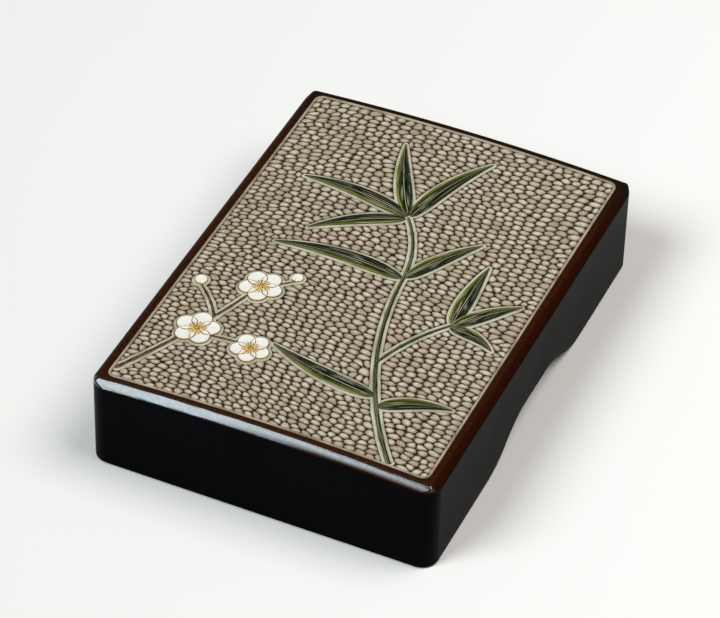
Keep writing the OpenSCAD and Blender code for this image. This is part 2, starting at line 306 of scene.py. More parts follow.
# %% Sizes, the camber and the step from mesh to piece
LID_W = 240
LID_L = 336
LID_WALL = 6.5
CORNER_R = 12
LID_LOW = 1
JOINT_Z = 62
CEILING_Z = 60
CHAMFER_Z = 64
CAMBER = 4.2
CAMBER_R = ((LID_W / 2) ** 2 + CAMBER ** 2) / (2 * CAMBER)
CHAMFER_W = 4.8
CHAMFER_H = 4.3
CHAMFER_CROWN = 0.2
TURN_R = 2
RIM_IN = 8.7
FIELD_IN = 10.2
GROUND_IN = 10.5
RIM_H = 0.5
FIELD_DEPTH = 1.2
BORDER_Z = CHAMFER_Z + CHAMFER_H
RIM_Z = BORDER_Z + RIM_H
FIELD_Z = RIM_Z - FIELD_DEPTH
CORNER_STEPS = 24
MM = 0.001


def camber(x):
    return CAMBER - CAMBER_R + math.sqrt(CAMBER_R ** 2 - x ** 2)


def follow_camber(bm):
    for vert in bm.verts:
        share = (vert.co.z - JOINT_Z) / (CHAMFER_Z - JOINT_Z)
        vert.co.z += min(1, max(0, share)) * camber(vert.co.x)


def make_piece(name, bm, body, finishes, nodes=(), crease=32, even=False):
    bmesh.ops.scale(bm, vec=(MM, MM, MM), verts=bm.verts)
    mesh = bpy.data.meshes.new(name)
    bm.to_mesh(mesh)
    bm.free()
    for material in finishes:
        mesh.materials.append(material)
    mesh.shade_smooth()
    mesh.set_sharp_from_angle(angle=math.radians(crease))
    piece = bpy.data.objects.new(name, mesh)
    bpy.context.scene.collection.objects.link(piece)
    if even:
        normals = piece.modifiers.new("even_normals", "WEIGHTED_NORMAL")
        normals.weight = 100
        normals.keep_sharp = True
    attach(piece, body)
    if nodes:
        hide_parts(*nodes)
    mesh.calc_loop_triangles()
    print(name, "has", len(mesh.loop_triangles), "triangles")
    return piece


print("the middle of the field is", round(FIELD_Z + camber(0), 2), "mm above the table")

# %% [markdown]
# ## Rounded outlines
# Every board and wall of the box has the same plan: a rectangle with round corners. It could be a filled
# curve, but a square of one face, scaled and with its four vertices bevelled, gives that outline with
# true arcs. Two such outlines bridged make a ring, and a ring extruded makes four walls in one go.

# %% Outline and ring
def new_faces(bm, known):
    return [face for face in bm.faces if face not in known]


def only_verts(geometry):
    return [item for item in geometry if isinstance(item, bmesh.types.BMVert)]


def only_faces(geometry):
    return [item for item in geometry if isinstance(item, bmesh.types.BMFace)]


def outline_face(bm, width, length, radius, z):
    known = set(bm.faces)
    corners = bmesh.ops.create_grid(bm, x_segments=1, y_segments=1, size=1)["verts"]
    bmesh.ops.scale(bm, vec=(width / 2, length / 2, 1), verts=corners)
    bmesh.ops.translate(bm, vec=(0, 0, z), verts=corners)
    bmesh.ops.bevel(
        bm, geom=corners, offset=radius, offset_type="OFFSET", segments=CORNER_STEPS,
        profile=0.5, affect="VERTICES", material=-1,
    )
    return new_faces(bm, known)[0]


def wall_ring(outside, inside, low, high):
    bm = bmesh.new()
    faces = [outline_face(bm, *outside, low), outline_face(bm, *inside, low)]
    edges = [edge for face in faces for edge in face.edges]
    bmesh.ops.delete(bm, geom=faces, context="FACES_ONLY")
    bmesh.ops.bridge_loops(bm, edges=edges)
    raised = bmesh.ops.extrude_face_region(bm, geom=bm.faces[:])["geom"]
    bmesh.ops.translate(bm, vec=(0, 0, high - low), verts=only_verts(raised))
    bmesh.ops.recalc_face_normals(bm, faces=bm.faces)
    return bm


lid_inside = (LID_W - 2 * LID_WALL, LID_L - 2 * LID_WALL, CORNER_R - LID_WALL)
lid_ring = wall_ring((LID_W, LID_L, CORNER_R), lid_inside, LID_LOW, JOINT_Z)
print("lid ring:", len(lid_ring.faces), "faces")

# %% [markdown]
# No edge of a lacquered box is knife-sharp, since each coat draws back from it. A Bevel modifier could
# round every edge alike. The operator rounds only chosen ones, here those at one height whose faces
# meet at a sharp angle. A plane that cuts the mesh serves later for rows of points and for mitres.

# %% Soft arrises and cuts
SHARP = 0.8


def arrises(bm, z):
    found = []
    for edge in bm.edges:
        level = all(abs(vert.co.z - z) < 0.001 for vert in edge.verts)
        if level and edge.calc_face_angle(0) > SHARP:
            found.append(edge)
    return found


def soften(bm, edges, size, steps):
    bmesh.ops.bevel(
        bm, geom=edges, offset=size, offset_type="OFFSET", segments=steps,
        profile=0.5, affect="EDGES", clamp_overlap=True, material=-1,
    )


def cut(bm, point, normal, clear_outer=False):
    parts = bm.verts[:] + bm.edges[:] + bm.faces[:]
    bmesh.ops.bisect_plane(
        bm, geom=parts, dist=0.0005, plane_co=point, plane_no=normal, clear_outer=clear_outer,
    )


def slice_across(bm, axis, places):
    normal = Vector((0, 0, 0))
    normal[axis] = 1
    for place in places:
        cut(bm, normal * place, normal)


soften(lid_ring, arrises(lid_ring, LID_LOW), size=0.7, steps=3)
print("lid ring with a soft lower edge:", len(lid_ring.faces), "faces")

# %% [markdown]
# ## The finger arch
# Each long lid wall is cut away below in a flat arch, so that fingers reach the body and the lid comes
# off. A boolean could cut it, but leaves ragged faces. The ring is instead sliced across the long
# walls, and the lower edge, soft arris included, is lifted along the arch's two arcs.

# %% Lift the lower edge
ARCH_HALF = 78
ARCH_LEVEL = 12
ARCH_H = 19
ARCH_RUN = ARCH_HALF - ARCH_LEVEL
ARCH_BEND = (ARCH_RUN ** 2 + ARCH_H ** 2) / (2 * ARCH_H)
SHOULDER_R = ARCH_BEND * 0.44
CROWN_R = ARCH_BEND - SHOULDER_R
ARCH_TURN = 2 * math.atan(ARCH_H / ARCH_RUN)
ARCH_STEP = 3
EDGE_BAND = 2
WALL_BAND = 10


def arch_lift(y):
    run = abs(y)
    if run >= ARCH_HALF:
        return 0.0
    if run <= ARCH_LEVEL:
        return float(ARCH_H)
    if ARCH_HALF - run < SHOULDER_R * math.sin(ARCH_TURN):
        return SHOULDER_R - math.sqrt(SHOULDER_R ** 2 - (ARCH_HALF - run) ** 2)
    return ARCH_H - CROWN_R + math.sqrt(CROWN_R ** 2 - (run - ARCH_LEVEL) ** 2)


slice_across(lid_ring, 1, range(-ARCH_HALF, ARCH_HALF + 1, ARCH_STEP))
for vert in lid_ring.verts:
    if vert.co.z < LID_LOW + EDGE_BAND and abs(vert.co.x) > LID_W / 2 - WALL_BAND:
        vert.co.z += arch_lift(vert.co.y)
print("arch height:", arch_lift(0), "at its foot:", arch_lift(ARCH_HALF))

# %% [markdown]
# ## Mitred walls
# The walls of a real box are four boards that meet in mitres. Each could be shaped and mitred alone,
# but then the round corners would have to meet exactly. Here each wall is a copy of one ring, cut by
# two upright planes through its corners, with the cut faces filled. The mitres get no soft edge,
# since lacquer runs over the joint without a line.

# %% Cut the rings into walls
SIDES = ("front", "right", "back", "left")


def mitred_wall(ring, width, length, side):
    bm = ring.copy()
    middle = Matrix.Rotation(side * math.pi / 2, 3, "Z") @ Vector((0, -1, 0))
    middle = Vector((middle.x * width / 2, middle.y * length / 2, 0))
    for x, y in ((-1, -1), (1, -1), (1, 1), (-1, 1)):
        corner = Vector((x * width / 2, y * length / 2, 0))
        way = corner - middle
        if abs(way.x) > 1 and abs(way.y) > 1:
            continue
        normal = Vector((-y, x, 0))
        if normal.dot(way) < 0:
            normal = -normal
        cut(bm, corner, normal, clear_outer=True)
    bmesh.ops.edgeloop_fill(bm, edges=[edge for edge in bm.edges if edge.is_boundary])
    bmesh.ops.recalc_face_normals(bm, faces=bm.faces)
    return bm


def make_walls(body, ring, width, length):
    for number, side in enumerate(SIDES):
        wall = mitred_wall(ring, width, length, number)
        nodes = [body + "_" + side + "_wall"]
        make_piece(body + "_wall_" + side, wall, body, [black], nodes, even=True)
    ring.free()


make_walls("lid", lid_ring, LID_W, LID_L)

# %% Walls of the body
BODY_W = 225.5
BODY_L = 321.5
BODY_WALL = 6
BODY_R = 4.75
BODY_INNER_R = 3
FLOOR_H = 6
body_inside = (BODY_W - 2 * BODY_WALL, BODY_L - 2 * BODY_WALL, BODY_INNER_R)
body_ring = wall_ring((BODY_W, BODY_L, BODY_R), body_inside, FLOOR_H, CEILING_Z)
soften(body_ring, arrises(body_ring, CEILING_Z), size=1.1, steps=4)
make_walls("body", body_ring, BODY_W, BODY_L)

# %% [markdown]
# ## Floor board
# The floor is one board under all four walls, with a low tongue that fits inside them. Two blocks could
# be joined for it, but four outlines joined by bridges give one closed skin with true round corners.

# %% Floor board
FLOOR_TONGUE_IN = 6.1
FLOOR_TONGUE_Z = 8


def bridge_outlines(bm, levels):
    faces = [outline_face(bm, *level) for level in levels]
    loops = [list(face.edges) for face in faces]
    bmesh.ops.delete(bm, geom=faces[1:-1], context="FACES_ONLY")
    bands = []
    for lower, upper in zip(loops, loops[1:]):
        bands.append(bmesh.ops.bridge_loops(bm, edges=lower + upper)["faces"])
    bmesh.ops.recalc_face_normals(bm, faces=bm.faces)
    return loops, bands, faces[-1]


bm = bmesh.new()
tongue = (BODY_W - 2 * FLOOR_TONGUE_IN, BODY_L - 2 * FLOOR_TONGUE_IN, BODY_INNER_R)
floor_levels = [
    (BODY_W, BODY_L, BODY_R, 0),
    (BODY_W, BODY_L, BODY_R, FLOOR_H),
    (*tongue, FLOOR_H),
    (*tongue, FLOOR_TONGUE_Z),
]
loops = bridge_outlines(bm, floor_levels)[0]
soften(bm, loops[0], size=0.6, steps=3)
make_piece("floor_board", bm, "body", [black], ["body_floor_board"], even=True)

# %% [markdown]
# ## Floor pegs
# Bamboo pegs driven up from below hold the floor to the walls. They could be painted on as dots, but a
# peg is a real pin: a short rod through the floor, whose head stands a hair proud of the underside.

# %% Bamboo
def bamboo_finish():
    material, wire, place = start_finish("bamboo")
    fibre = place.scaled((2600.0, 2600.0, 30.0)).noise(1.0, 2.0)
    tint = fibre.rise(0.3, 0.7).blend(colour(150, 118, 66), colour(206, 182, 124))
    close_finish(wire, {"Base Color": tint, "Roughness": 0.5 + 0.2 * fibre})
    return material


bamboo = bamboo_finish()
print("pegs:", bamboo.name, "with", len(bamboo.node_tree.nodes), "nodes")

# %% Pegs
PEG_R = 1.25
PEG_L = 22
PEG_PROUD = 0.02
SHORT_SIDE_PEGS = 3
LONG_SIDE_PEGS = 4


def floor_pegs(side):
    bm = bmesh.new()
    if side % 2:
        count, side_length, side_gap = LONG_SIDE_PEGS, BODY_L, BODY_W
    else:
        count, side_length, side_gap = SHORT_SIDE_PEGS, BODY_W, BODY_L
    for i in range(count):
        peg = bmesh.ops.create_cone(
            bm, cap_ends=True, segments=20, radius1=PEG_R, radius2=PEG_R, depth=PEG_L,
        )["verts"]
        run = (side_length - 2 * BODY_WALL) * ((i + 0.5) / count - 0.5)
        place = (run, BODY_WALL / 2 - side_gap / 2, PEG_L / 2 - PEG_PROUD)
        bmesh.ops.translate(bm, vec=place, verts=peg)
    bmesh.ops.rotate(bm, matrix=Matrix.Rotation(side * math.pi / 2, 3, "Z"), verts=bm.verts)
    return bm


for number, side in enumerate(SIDES):
    pegs = floor_pegs(number)
    make_piece("pegs_" + side, pegs, "body", [bamboo], ["floor_pegs_" + side])

# %% [markdown]
# ## Corner keys
# Thin slips of plain wood lie across each mitre and hold it. They could be modelled again, but they are
# buried under the lacquer, so the CAD nodes serve as they are and only get a wood finish.

# %% Wood for the keys
def plain_wood():
    material, wire, place = start_finish("plain_wood")
    rings = place.scaled((60.0, 60.0, 900.0)).noise(1.0, 4.0)
    tint = rings.rise(0.35, 0.65).blend(colour(176, 138, 92), colour(212, 178, 130))
    close_finish(wire, {"Base Color": tint, "Roughness": 0.55 + 0.15 * rings})
    return material


wood = plain_wood()
for name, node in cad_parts.items():
    if "_keys_" in name:
        node.data.materials.clear()
        node.data.materials.append(wood)
print("keys in wood:", sum("_keys_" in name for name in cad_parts))

# %% [markdown]
# ## The carved board
# The board could be a solid cut by booleans. Here it grows out of nested outlines: tongue, seat, upright
# edge, chamfer, border, rim and sunk field. Each pair is bridged, and each band gets its own finish.
# The corner radius shrinks up the chamfer, so that the chamfers meet in tight corners at the border.
# Then the arrises are softened, the board is sliced, and its upper side is lifted along the camber.

# %% Pale lacquer for the rim, dark for the cut ground
def pale_lacquer(name, dark, light):
    material, wire, place = start_finish(name)
    cloud = place.noise(55.0, 5.0)
    speck = place.noise(1100.0, 2.0)
    worn = (cloud * 0.7 + speck * 0.3).rise(0.3, 0.62)
    tint = worn.blend(dark, light)
    bump = speck.bump(0.12, 0.0002)
    close_finish(wire, {
        "Base Color": tint,
        "Roughness": 0.5 + 0.2 * speck,
        "Specular IOR Level": 0.14,
        "Normal": bump,
    })
    return material


rim_pale = pale_lacquer("rim_lacquer", colour(122, 107, 84), colour(180, 167, 147))
cut_ground = pale_lacquer("cut_ground", colour(28, 14, 5), colour(52, 34, 15))
print("board finishes:", rim_pale.name, cut_ground.name)

# %% Levels of the board
TONGUE_IN = 6.6
TONGUE_R = 5.4
RIM_R = 5.9
FIELD_R = 4.4
GROUND_R = 4.1
RADIUS_FALL = 15
GROUND_STEP = 0.5


def board_level(inset, radius, z):
    return (LID_W - 2 * inset, LID_L - 2 * inset, radius, z)


def chamfer_level(share):
    crown = 4 * CHAMFER_CROWN * share * (1 - share)
    slope = math.hypot(CHAMFER_W, CHAMFER_H)
    inset = CHAMFER_W * share - crown * CHAMFER_H / slope
    z = CHAMFER_Z + CHAMFER_H * share + crown * CHAMFER_W / slope
    return board_level(inset, max(TURN_R, CORNER_R - RADIUS_FALL * share), z)


board_levels = [
    board_level(TONGUE_IN, TONGUE_R, CEILING_Z),
    board_level(TONGUE_IN, TONGUE_R, JOINT_Z),
    board_level(0, CORNER_R, JOINT_Z),
    board_level(0, CORNER_R, CHAMFER_Z),
    chamfer_level(0.2),
    chamfer_level(0.4),
    chamfer_level(0.6),
    chamfer_level(0.8),
    chamfer_level(1),
    board_level(RIM_IN, RIM_R, BORDER_Z),
    board_level(RIM_IN, RIM_R, RIM_Z),
    board_level(FIELD_IN, FIELD_R, RIM_Z),
    board_level(GROUND_IN, GROUND_R, FIELD_Z + GROUND_STEP),
    board_level(GROUND_IN, GROUND_R, FIELD_Z),
]
print(len(board_levels), "outlines, the widest", max(board_levels)[:2], "mm")

# %% Board
BLACK, BROWN, PALE, GROUND = range(4)
BAND_FINISHES = 3 * [BLACK] + 6 * [BROWN] + 3 * [PALE] + [GROUND]
SLICE = 4
POLISH_EDGE = 160.5
POLISH_FADE = 2.5

bm = bmesh.new()
loops, bands, field = bridge_outlines(bm, board_levels)
for band, finish_number in zip(bands, BAND_FINISHES):
    for face in band:
        face.material_index = finish_number
field.material_index = GROUND
chamfer_foot, chamfer_top, rim_edges = loops[3], loops[8], loops[10] + loops[11]
soften(bm, chamfer_foot, size=0.3, steps=2)
soften(bm, chamfer_top, size=0.35, steps=3)
soften(bm, rim_edges, size=0.3, steps=2)
slice_across(bm, 0, range(SLICE - LID_W // 2, LID_W // 2, SLICE))
slice_across(bm, 1, (-POLISH_EDGE - POLISH_FADE, -POLISH_EDGE))
level = bm.verts.layers.float.new("board_level")
polish = bm.verts.layers.float.new("polish")
for vert in bm.verts:
    vert[level] = min(1, max(0, (vert.co.z - CHAMFER_Z) / CHAMFER_H))
    vert[polish] = min(1, max(0, (-vert.co.y - POLISH_EDGE) / POLISH_FADE))
follow_camber(bm)
board_finishes = [black, brown, rim_pale, cut_ground]
make_piece("carved_board", bm, "lid", board_finishes, ["lid_top_board"], even=True)

# %% [markdown]
# ## Laying out the spray
# The carver draws the plants on the bare board before a tool touches it: bamboo grass rising from one
# side, and a plum twig in blossom on the other. Curve objects could hold the lines, but an arc with
# a start, a heading and a steady turn is enough for every leaf, stem and twig, and easy to measure.

# %% Lines of the spray
Line = namedtuple("Line", "x y heading length turn width")
Blossom = namedtuple("Blossom", "x y radius heading")
Bud = namedtuple("Bud", "x y heading length")
LEAVES = [Line(*numbers) for numbers in (
    (-1, 63, 160, 82, 24, 11.0),
    (-1, 64, 122, 76, -14, 10.5),
    (1, 64, 82, 80, -26, 11.0),
    (-1, 60, 200, 66, 24, 10.0),
    (21, 4, 168, 92, 24, 11.5),
    (23, 6, 66, 62, -16, 10.0),
    (68, -22, 94, 62, -8, 10.5),
    (69, -23, 56, 50, -14, 10.0),
    (68, -25, 8, 34, -44, 8.5),
    (51, -106, 178, 80, -20, 11.0),
    (57, -114, 42, 48, -36, 9.5),
)]
STEMS = [Line(*numbers) for numbers in (
    (84, -157, 128, 176, -34, 3.2),
    (21.8, 4.9, 94, 62, 34, 2.6),
    (39.4, -76.9, 74, 62, -24, 2.4),
)]
TWIGS = [Line(*numbers) for numbers in (
    (-109, -150, 58, 118, 14, 3.0),
    (-84, -104, 22, 46, -30, 2.2),
    (-73, -81, 120, 36, 22, 2.0),
    (-58, -46, 52, 26, -16, 1.8),
)]
BLOSSOMS = [Blossom(-58, -42, 14.5, 62), Blossom(-78, -96, 15.0, 20), Blossom(-38, -100, 13.0, -10)]
BUDS = [Bud(-97, -51, 128, 8.5), Bud(-40, -25, 46, 7.5)]
print(len(LEAVES), "leaves,", len(STEMS), "stems,", len(TWIGS), "twigs,", len(BLOSSOMS), "blossoms")

# %% Points and widths along a line
MARGIN = 2.0
STEM_KNOTS = 23
TWIG_KNOTS = 11
PETALS = 5
PETAL_OUT = 0.56
PETAL_SIZE = 0.46


def along(line, run):
    turn = math.radians(line.turn) / line.length
    start = math.radians(line.heading)
    way = start + turn * run
    east = line.x + (math.sin(way) - math.sin(start)) / turn
    north = line.y - (math.cos(way) - math.cos(start)) / turn
    return Vector((east, north, 0)), Vector((-math.sin(way), math.cos(way), 0))


def share_of(line, run):
    return min(1, max(0, run / line.length))


def leaf_half(line, run):
    return line.width / 2 * max(0, math.sin(math.pi * share_of(line, run) ** 0.62)) ** 0.8


def stem_half(line, run):
    knot = abs((run / STEM_KNOTS + 0.5) % 1 - 0.5) * STEM_KNOTS
    return line.width / 2 * (1 - 0.25 * share_of(line, run) + 0.35 * math.exp(-knot ** 2))


def twig_half(line, run):
    knot = abs((run / TWIG_KNOTS + 0.2) % 1 - 0.5) * TWIG_KNOTS
    return line.width / 2 * (1 - 0.45 * share_of(line, run) + 0.3 * math.exp(-knot ** 2 / 3))


def petal_places(blossom):
    out = PETAL_OUT * blossom.radius
    places = []
    for i in range(PETALS):
        way = math.radians(blossom.heading + 360 / PETALS * i)
        places.append((blossom.x + out * math.cos(way), blossom.y + out * math.sin(way), way))
    return places


LINES = [(line, leaf_half) for line in LEAVES]
LINES += [(line, stem_half) for line in STEMS]
LINES += [(line, twig_half) for line in TWIGS]
print(len(LINES), "lines, the widest", max(line.width for line, half in LINES), "mm")

# %% [markdown]
# ## Ribbons
# A leaf, a stem and the pale margin round each are all ribbons of varying width. A bevelled curve could
# make them, but it can't be hollow. So a grid is bent along the line, with its columns placed across
# it, and its outer edge is extruded down into the field. The underside is filled where that edge is
# one plain loop. Under the pointed leaves it stays open, out of sight in the field. The grid's own
# rows and columns become the piece's map, which the shader uses for the veins.

# %% One ribbon along a line
RIBBON_ROWS = 46
SEAT_Z = FIELD_Z - 0.05


def close_below(bm, top):
    rim = list({edge for vert in top for edge in vert.link_edges if edge.is_boundary})
    skirt = bmesh.ops.extrude_edge_only(bm, edges=rim)["geom"]
    for vert in only_verts(skirt):
        vert.co.z = SEAT_Z
    lower = [item for item in skirt if isinstance(item, bmesh.types.BMEdge) and item.is_boundary]
    bmesh.ops.edgeloop_fill(bm, edges=lower)


def ribbon(bm, line, half, margin, columns, height):
    count = len(columns) - 1
    grid = bmesh.ops.create_grid(bm, x_segments=count, y_segments=RIBBON_ROWS, size=1)["verts"]
    leaf_map = bm.loops.layers.uv.verify()
    for face in {face for vert in grid for face in vert.link_faces}:
        for loop in face.loops:
            loop[leaf_map].uv = (loop.vert.co.x / 2 + 0.5, loop.vert.co.y / 2 + 0.5)
    for vert in grid:
        column = columns[round((vert.co.x + 1) / 2 * count)]
        row = 0.5 - 0.5 * math.cos(math.pi * (vert.co.y + 1) / 2)
        run = row * (line.length + 2 * margin) - margin
        beyond = max(0, -run, run - line.length) / max(margin, 0.01)
        wide = (half(line, run) + margin) * math.sqrt(max(0, 1 - beyond ** 2))
        point, side = along(line, run)
        offset = column(wide)
        vert.co = point + side * offset
        vert.co.z = FIELD_Z + height(wide, offset)
    bmesh.ops.remove_doubles(bm, verts=grid, dist=0.03)
    close_below(bm, [vert for vert in grid if vert.is_valid])


print("each ribbon has", RIBBON_ROWS, "rows along its line")

# %% Columns across a ribbon
def even_columns(count):
    return [lambda wide, share=2 * i / count - 1: share * wide for i in range(count + 1)]


def edge_columns(distances):
    left = [lambda wide, gap=gap: -max(0, wide - gap) for gap in distances]
    right = [lambda wide, gap=gap: max(0, wide - gap) for gap in reversed(distances)]
    return left + [lambda wide: 0.0] + right


def between(points, x):
    for (x0, y0), (x1, y1) in zip(points, points[1:]):
        if x <= x1:
            return y0 + (y1 - y0) * (x - x0) / (x1 - x0)
    return points[-1][1]


print("columns of a leaf:", [round(column(5.0), 2) for column in even_columns(8)])

# %% [markdown]
# ## Pale margins
# The ground stops short of every plant and leaves a narrow pale band that follows its outline, which
# is what makes the carving readable from afar. It could be a coloured stripe, but the real one is cut
# and stands up. Each band is a ribbon wider than its plant by two millimetres on each side. Under a
# blossom it is a set of low discs with sloping edges.

# %% Margins
MARGIN_H = 0.5
MARGIN_PROFILE = ((0, 0.26), (0.35, 0.44), (1.0, 0.5), (1.7, 0.46), (2.3, 0.2), (40, 0.15))


def margin_height(wide, offset):
    return between(MARGIN_PROFILE, wide - abs(offset))


def low_disc(bm, x, y, radius, height):
    disc = bmesh.ops.create_circle(bm, cap_ends=True, segments=28, radius=radius)["verts"]
    bmesh.ops.translate(bm, vec=(x, y, SEAT_Z), verts=disc)
    raised = bmesh.ops.extrude_face_region(bm, geom=[disc[0].link_faces[0]])["geom"]
    top = only_verts(raised)
    bmesh.ops.translate(bm, vec=(0, 0, height * 0.6), verts=top)
    skin = list({face for vert in disc + top for face in vert.link_faces})
    bmesh.ops.recalc_face_normals(bm, faces=skin)
    bmesh.ops.inset_individual(
        bm, faces=only_faces(raised), thickness=0.4, depth=height * 0.4, use_even_offset=True,
    )


bm = bmesh.new()
columns = edge_columns([gap for gap, height in MARGIN_PROFILE[:-1]])
for line, half in LINES:
    ribbon(bm, line, half, MARGIN, columns, margin_height)
for blossom in BLOSSOMS:
    for x, y, way in petal_places(blossom):
        low_disc(bm, x, y, PETAL_SIZE * blossom.radius + MARGIN, MARGIN_H)
for bud in BUDS:
    low_disc(bm, bud.x, bud.y, bud.length / 2 + MARGIN, MARGIN_H)
bmesh.ops.recalc_face_normals(bm, faces=bm.faces)
follow_camber(bm)
margin_pale = pale_lacquer("margin_lacquer", colour(158, 150, 124), colour(200, 196, 176))
make_piece("spray_margins", bm, "lid", [margin_pale])

# %% [markdown]
# ## Leaves
# Each blade is cut hollow: its edges stand up and its two halves slope down to the midrib, one half
# catching the light and the other in shade. That light and shade are painted into the colour: olive
# on the lit half and nearly black on the shaded one, both darkening as painted shade towards the
# midrib. Fine pale veins run along the blade. The veins could be cut too, but they are finer than any
# groove, so they are drawn by the shader on the ribbon's own map.

# %% Leaf finish
def leaf_lacquer():
    material, wire, place = start_finish("leaf_lacquer")
    leaf_map = wire.node("UVMap", {"uv_map": "leaf_map"})
    across = leaf_map.axis("X") - 0.5
    run = leaf_map.axis("Y")
    cloud = place.noise(130.0, 4.0)
    drift = place.noise(14.0, 1.0)
    vein_map = wire.node("CombineXYZ", None, {"X": across * 22.0, "Y": run * 1.6, "Z": drift * 9.0})
    streak = vein_map.noise(1.0, 2.0)
    edge = abs(across) * 2.0 + 0.3 * cloud - 0.15
    # Painted light and shade: one half of each blade gets the lit colour and the other the shaded one, and
    # both darken towards the midrib as painted shade.
    lit = (across + 0.1 * cloud - 0.05).rise(-0.04, 0.04)
    painted_lit_olive = edge.rise(0.2, 0.9).blend(colour(16, 22, 4), colour(102, 107, 36))
    painted_lit_olive = (run.rise(0.55, 1.0) * 0.55).blend(painted_lit_olive, colour(140, 142, 72))
    shade = edge.rise(0.1, 1.0).blend(colour(4, 8, 2), colour(34, 46, 28))
    tint = lit.blend(shade, painted_lit_olive)
    tint = (streak.rise(0.48, 0.32) * 0.8).blend(tint, colour(9, 13, 2))
    base = 1 - run.rise(0.25, 0.9)
    tint = (streak.rise(0.56, 0.66) * (0.25 + 0.55 * base)).blend(tint, colour(196, 193, 164))
    rib = 1 - abs(across).rise(0.012, 0.04)
    tint = (rib * (0.3 + 0.45 * base)).blend(tint, colour(190, 186, 150))
    bump = cloud.bump(0.08, 0.0003)
    close_finish(wire, {
        "Base Color": tint,
        "Roughness": 0.34 + 0.2 * cloud,
        "Specular IOR Level": 0.12,
        "Normal": bump,
    })
    return material


leaf_green = leaf_lacquer()
print("leaves:", leaf_green.name, "with", len(leaf_green.node_tree.nodes), "nodes")

# %% Leaves and stems
LEAF_STEP = 0.02


def blade_height(lift):
    def height(wide, offset):
        return lift + 0.58 + 0.42 * (abs(offset) / max(wide, 0.01)) ** 0.7
    return height


def round_height(lift):
    def height(wide, offset):
        return lift + 0.5 * math.sqrt(max(0, 1 - (offset / max(wide, 0.01)) ** 2))
    return height


bm = bmesh.new()
for number, line in enumerate(LEAVES):
    ribbon(bm, line, leaf_half, 0, even_columns(8), blade_height(LEAF_STEP * (number % 4)))
for line in STEMS:
    ribbon(bm, line, stem_half, 0, even_columns(6), round_height(0.55))
bmesh.ops.recalc_face_normals(bm, faces=bm.faces)
follow_camber(bm)
leaves = make_piece("bamboo_leaves", bm, "lid", [leaf_green], crease=50)
leaves.data.uv_layers[0].name = "leaf_map"

# %% [markdown]
# ## Plum twig and blossoms
# A twig is a knotty half-round ribbon. A blossom is five round petals, which could be flattened balls, but
# a carved petal has a lip. So each is a disc, extruded and then inset four times: a raised gold lip, a
# slope, and a shallow white cup in two steps. Gold threads, each with a bead, radiate from the heart.

# %% Petal, gold and twig finishes
def petal_lacquer():
    material, wire, place = start_finish("petal_lacquer")
    heart = wire.attribute("heart")
    cloud = place.noise(260.0, 4.0)
    warm = 1 - (heart + 0.3 * cloud).rise(0.2, 0.75)
    tint = cloud.blend(colour(236, 234, 226), colour(250, 249, 244))
    tint = (warm * 0.8).blend(tint, colour(226, 196, 104))
    close_finish(wire, {
        "Base Color": tint,
        "Roughness": 0.42 + 0.15 * cloud,
        "Specular IOR Level": 0.35,
    })
    return material


def gold_powder():
    material, wire, place = start_finish("gold_powder")
    dust = place.noise(900.0, 3.0)
    tint = dust.rise(0.35, 0.65).blend(colour(168, 122, 40), colour(226, 184, 88))
    close_finish(wire, {"Base Color": tint, "Metallic": 0.65, "Roughness": 0.3 + 0.25 * dust})
    return material


def twig_lacquer():
    material, wire, place = start_finish("twig_lacquer")
    bark = place.noise(420.0, 5.0)
    tint = bark.rise(0.35, 0.65).blend(colour(44, 26, 14), colour(104, 74, 40))
    bump = bark.bump(0.4, 0.0003)
    close_finish(wire, {"Base Color": tint, "Roughness": 0.4 + 0.2 * bark, "Normal": bump})
    return material


petal_white = petal_lacquer()
gold = gold_powder()
bark_brown = twig_lacquer()
print("blossom finishes:", petal_white.name, gold.name, bark_brown.name)

# %% Petals, beads and threads
GOLD_FINISH = 1
PETAL_RISE = 1.15
PETAL_CUTS = ((0.09, 0.14), (0.08, -0.2), (0.3, -0.16), (0.3, -0.02))
THREAD_START = 0.6


def gild(faces):
    for face in faces:
        face.material_index = GOLD_FINISH


def petal(bm, x, y, way, size, lift):
    known = set(bm.faces)
    disc = bmesh.ops.create_circle(bm, cap_ends=True, segments=24, radius=1)["verts"]
    bmesh.ops.scale(bm, vec=(size * 1.06, size, 1), verts=disc)
    bmesh.ops.rotate(bm, matrix=Matrix.Rotation(way, 3, "Z"), verts=disc)
    bmesh.ops.translate(bm, vec=(x, y, SEAT_Z), verts=disc)
    raised = bmesh.ops.extrude_face_region(bm, geom=[disc[0].link_faces[0]])["geom"]
    crown = only_faces(raised)
    bmesh.ops.translate(bm, vec=(0, 0, PETAL_RISE + lift), verts=only_verts(raised))
    bmesh.ops.recalc_face_normals(bm, faces=new_faces(bm, known))
    for share, depth in PETAL_CUTS:
        bmesh.ops.inset_individual(
            bm, faces=crown, thickness=share * size, depth=depth, use_even_offset=True,
        )
        if depth > 0:
            gild([face for face in new_faces(bm, known) if face not in crown])


def bead(bm, place, radius):
    known = set(bm.faces)
    ball = bmesh.ops.create_icosphere(bm, subdivisions=2, radius=radius)["verts"]
    bmesh.ops.translate(bm, vec=place, verts=ball)
    gild(new_faces(bm, known))


def thread(bm, place, way, length):
    known = set(bm.faces)
    rod = bmesh.ops.create_cone(
        bm, cap_ends=True, segments=8, radius1=0.26, radius2=0.2, depth=length,
    )["verts"]
    bmesh.ops.translate(bm, vec=(0, 0, THREAD_START + length / 2), verts=rod)
    turn = Matrix.Rotation(way, 3, "Z") @ Matrix.Rotation(math.pi / 2, 3, "Y")
    bmesh.ops.rotate(bm, matrix=turn, verts=rod)
    bmesh.ops.translate(bm, vec=place, verts=rod)
    gild(new_faces(bm, known))


print("a petal is cut in", len(PETAL_CUTS), "steps")

